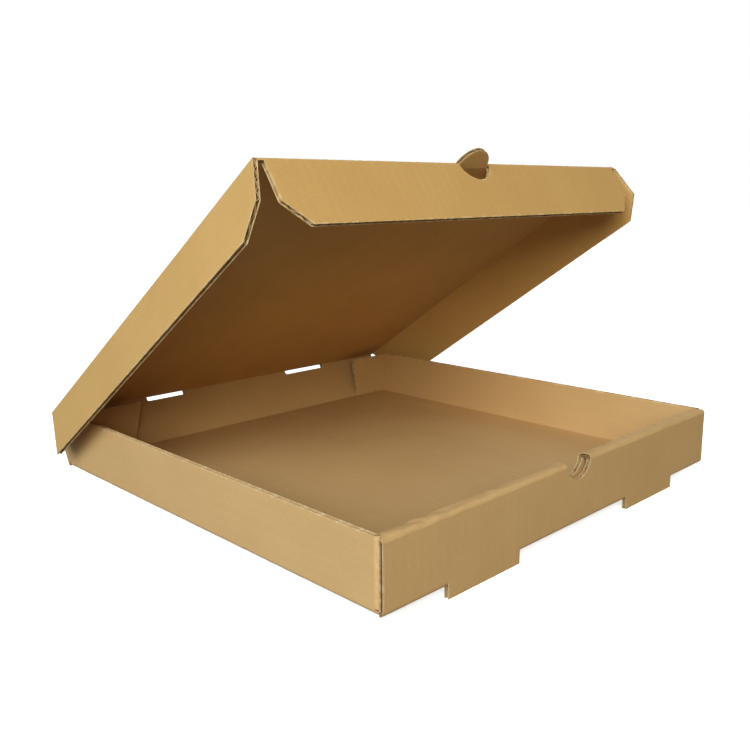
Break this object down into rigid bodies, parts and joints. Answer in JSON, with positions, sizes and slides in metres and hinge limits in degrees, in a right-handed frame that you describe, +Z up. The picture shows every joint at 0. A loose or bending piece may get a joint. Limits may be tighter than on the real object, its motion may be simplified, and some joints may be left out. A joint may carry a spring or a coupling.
{
  "type": "pizza box",
  "caption": "Square folding box of plain corrugated board with a hinged lid, tuck-in flaps, a thumb tab and notch, and short front feet; shown half open.",
  "frame": {"origin": "centre of the underside of the tray's base panel", "axes": "+X to the right of the box seen from its front, +Y from the front wall towards the hinged back, +Z up"},
  "size_m": [0.3598, 0.3495, 0.2266],
  "materials": {
    "kraft_board": "matte brown kraft corrugated board"
  },
  "bodies": {
    "tray": {"tray": "kraft_board"},
    "back_wall": {"back_wall": "kraft_board"},
    "lid": {"lid_panel": "kraft_board"},
    "front_flap": {"lid_front_flap": "kraft_board"},
    "left_flap": {"lid_left_flap": "kraft_board"},
    "right_flap": {"lid_right_flap": "kraft_board"},
    "left_dust_flap": {"left_rear_dust_flap": "kraft_board"},
    "right_dust_flap": {"right_rear_dust_flap": "kraft_board"}
  },
  "joints": [
    {"name": "back_wall_fold", "type": "hinge", "parent": "tray", "child": "back_wall", "pos_m": [0, 0.1627, 0.0028], "axis": [-1, 0, 0], "range_deg": [-29.5, 60.5]},
    {"name": "lid_fold", "type": "hinge", "parent": "back_wall", "child": "lid", "pos_m": [0, 0.18117, 0.03544], "axis": [-1, 0, 0], "range_deg": [-4, 86]},
    {"name": "front_flap_fold", "type": "hinge", "parent": "lid", "child": "front_flap", "pos_m": [0, -0.08084, 0.20885], "axis": [-1, 0, 0], "range_deg": [0, 90]},
    {"name": "left_flap_fold", "type": "hinge", "parent": "lid", "child": "left_flap", "pos_m": [-0.1639, 0.04549, 0.12524], "axis": [0, 0.8339, -0.5519], "range_deg": [-20, 70]},
    {"name": "right_flap_fold", "type": "hinge", "parent": "lid", "child": "right_flap", "pos_m": [0.1639, 0.04549, 0.12524], "axis": [0, -0.8339, 0.5519], "range_deg": [-20, 70]},
    {"name": "left_dust_flap_fold", "type": "hinge", "parent": "tray", "child": "left_dust_flap", "pos_m": [-0.1607, 0.1595, 0.02], "axis": [0, 0, -1], "range_deg": [0, 75]},
    {"name": "right_dust_flap_fold", "type": "hinge", "parent": "tray", "child": "right_dust_flap", "pos_m": [0.1607, 0.1595, 0.02], "axis": [0, 0, 1], "range_deg": [0, 75]}
  ]
}
